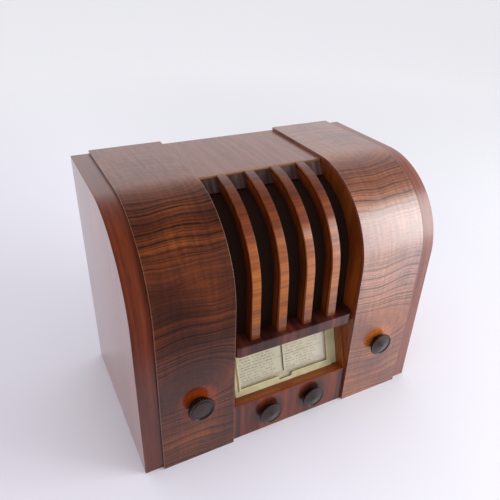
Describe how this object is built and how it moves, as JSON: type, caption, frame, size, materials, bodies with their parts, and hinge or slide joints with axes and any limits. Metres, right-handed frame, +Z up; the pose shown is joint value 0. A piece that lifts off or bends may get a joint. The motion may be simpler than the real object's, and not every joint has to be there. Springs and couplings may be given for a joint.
{
  "type": "table radio",
  "caption": "Table radio with tubes in a walnut cabinet: two bent towers beside a slatted loudspeaker grille over a leaning dial, four knobs, chassis and slotted back cover.",
  "frame": {"origin": "middle of the bounding box on the table plane", "axes": "+Z up, -Y out of the front with the dial and knobs, +X to the right of someone facing the front"},
  "size_m": [0.4, 0.25, 0.326],
  "materials": {
    "walnut_stripe": "striped walnut veneer under gloss lacquer",
    "walnut_plain": "straight grained walnut under gloss lacquer",
    "orange_wood": "light orange stained wood under gloss lacquer",
    "top_wood": "walnut veneer under gloss lacquer",
    "stringing": "light inlay",
    "slat_wood": "laminated, light faces and orange sides",
    "dark_wood": "dark stained walnut under gloss lacquer",
    "jamb_wood": "stained wood",
    "plywood": "unfinished",
    "fibreboard": "pressed board",
    "grille_cloth": "dark woven cloth",
    "ivory_plastic": "moulded",
    "clear_glass": "clear",
    "scale_print": null,
    "steel": "plated sheet",
    "screw_steel": "plated",
    "lamp_glass": "clear",
    "pointer_paint": "dark enamel",
    "indicator_print": "printed",
    "bakelite": "polished phenolic moulding",
    "phenolic_sheet": "laminated sheet",
    "core_steel": "varnished laminations",
    "winding_paper": "waxed paper over copper",
    "aluminium": "plain",
    "brass": "plain",
    "cord": "braided",
    "tube_glass": "clear, silvered at the top",
    "black_paint": "black enamel",
    "cone_paper": "pressed paper",
    "rubber": "matt"
  },
  "bodies": {
    "cabinet": {"left_side_board": "walnut_plain", "right_side_board": "walnut_plain", "left_tower_skin": "walnut_stripe", "right_tower_skin": "walnut_stripe", "left_recess_wall": "orange_wood", "right_recess_wall": "orange_wood", "top_panel": "top_wood", "top_edge_stringing": "stringing", "grille_header": "slat_wood", "grille_slat_1": "slat_wood", "grille_slat_2": "slat_wood", "grille_slat_3": "slat_wood", "grille_slat_4": "slat_wood", "grille_sill": "dark_wood", "grille_cloth": "grille_cloth", "baffle_board": "plywood", "lower_front_panel": "dark_wood", "dial_ledge": "orange_wood", "dial_jambs": "jamb_wood", "base_board": "plywood", "back_cover": "fibreboard", "back_cover_screws": "screw_steel", "dial_bezel": "ivory_plastic", "dial_glass": "clear_glass", "dial_scale": "scale_print", "dial_frame": "steel", "dial_lamps": "lamp_glass", "potentiometers": "steel", "wave_switch": "phenolic_sheet", "chassis": "steel", "chassis_bolts": "screw_steel", "transformer_core": "core_steel", "transformer_winding": "winding_paper", "gang_frame": "aluminium", "drive_cord": "cord", "coil_cans": "aluminium", "filter_capacitor": "aluminium", "detector_tube": "tube_glass", "output_tube": "tube_glass", "rectifier_tube": "tube_glass", "tube_bases": "bakelite", "tube_sockets": "phenolic_sheet", "speaker_basket": "black_paint", "speaker_magnet": "core_steel", "terminal_strip": "phenolic_sheet", "mains_grommet": "rubber"},
    "volume_control": {"volume_knob": "bakelite", "volume_shaft": "steel"},
    "tone_control": {"tone_knob": "bakelite", "tone_shaft": "steel"},
    "tuning_control": {"tuning_knob": "bakelite", "tuning_shaft": "steel"},
    "wave_control": {"wave_knob": "bakelite", "wave_shaft": "steel"},
    "gang": {"gang_rotor": "aluminium", "drive_drum": "brass"},
    "pointer": {"dial_pointer": "pointer_paint"},
    "pulley": {"guide_pulley": "brass"},
    "band_marker": {"band_indicator": "indicator_print"},
    "cone": {"speaker_cone": "cone_paper"}
  },
  "joints": [
    {"name": "volume_turn", "type": "hinge", "parent": "cabinet", "child": "volume_control", "pos_m": [-0.131, -0.113, 0.091], "axis": [0, 1, 0], "range_deg": [0, 270]},
    {"name": "tone_turn", "type": "hinge", "parent": "cabinet", "child": "tone_control", "pos_m": [-0.0325, -0.109, 0.0305], "axis": [0, 1, 0], "range_deg": [0, 270]},
    {"name": "gang_turn", "type": "hinge", "parent": "cabinet", "child": "gang", "pos_m": [-0.084, -0.057, 0.10999], "axis": [0, 1, 0], "range_deg": [-90, 90]},
    {"name": "tuning_turn", "type": "hinge", "parent": "cabinet", "child": "tuning_control", "pos_m": [0.0325, -0.109, 0.0305], "axis": [0, 1, 0], "range_deg": [-789, 789]},
    {"name": "pulley_turn", "type": "hinge", "parent": "cabinet", "child": "pulley", "pos_m": [0.075, -0.057, 0.138], "axis": [0, 1, 0], "range_deg": [-451, 451]},
    {"name": "pointer_slide", "type": "slide", "parent": "cabinet", "child": "pointer", "axis": [1, 0, 0], "range_m": [-0.0551, 0.0551]},
    {"name": "wave_turn", "type": "hinge", "parent": "cabinet", "child": "wave_control", "pos_m": [0.131, -0.113, 0.091], "axis": [0, 1, 0], "range_deg": [-30, 30]},
    {"name": "band_slide", "type": "slide", "parent": "cabinet", "child": "band_marker", "axis": [1, 0, 0], "range_m": [-0.01415, 0.01415]},
    {"name": "cone_travel", "type": "slide", "parent": "cabinet", "child": "cone", "axis": [0, -0.9063, 0.4226], "range_m": [-0.0006, 0.0006], "stiffness_N_per_m": 1500}
  ],
  "couplings": [
    {"joint": "tuning_turn", "follows": "gang_turn", "ratio": 8.7535},
    {"joint": "pulley_turn", "follows": "gang_turn", "ratio": 5.002},
    {"joint": "pointer_slide", "follows": "gang_turn", "m_per_rad": 0.035014},
    {"joint": "band_slide", "follows": "wave_turn", "m_per_rad": -0.027}
  ]
}
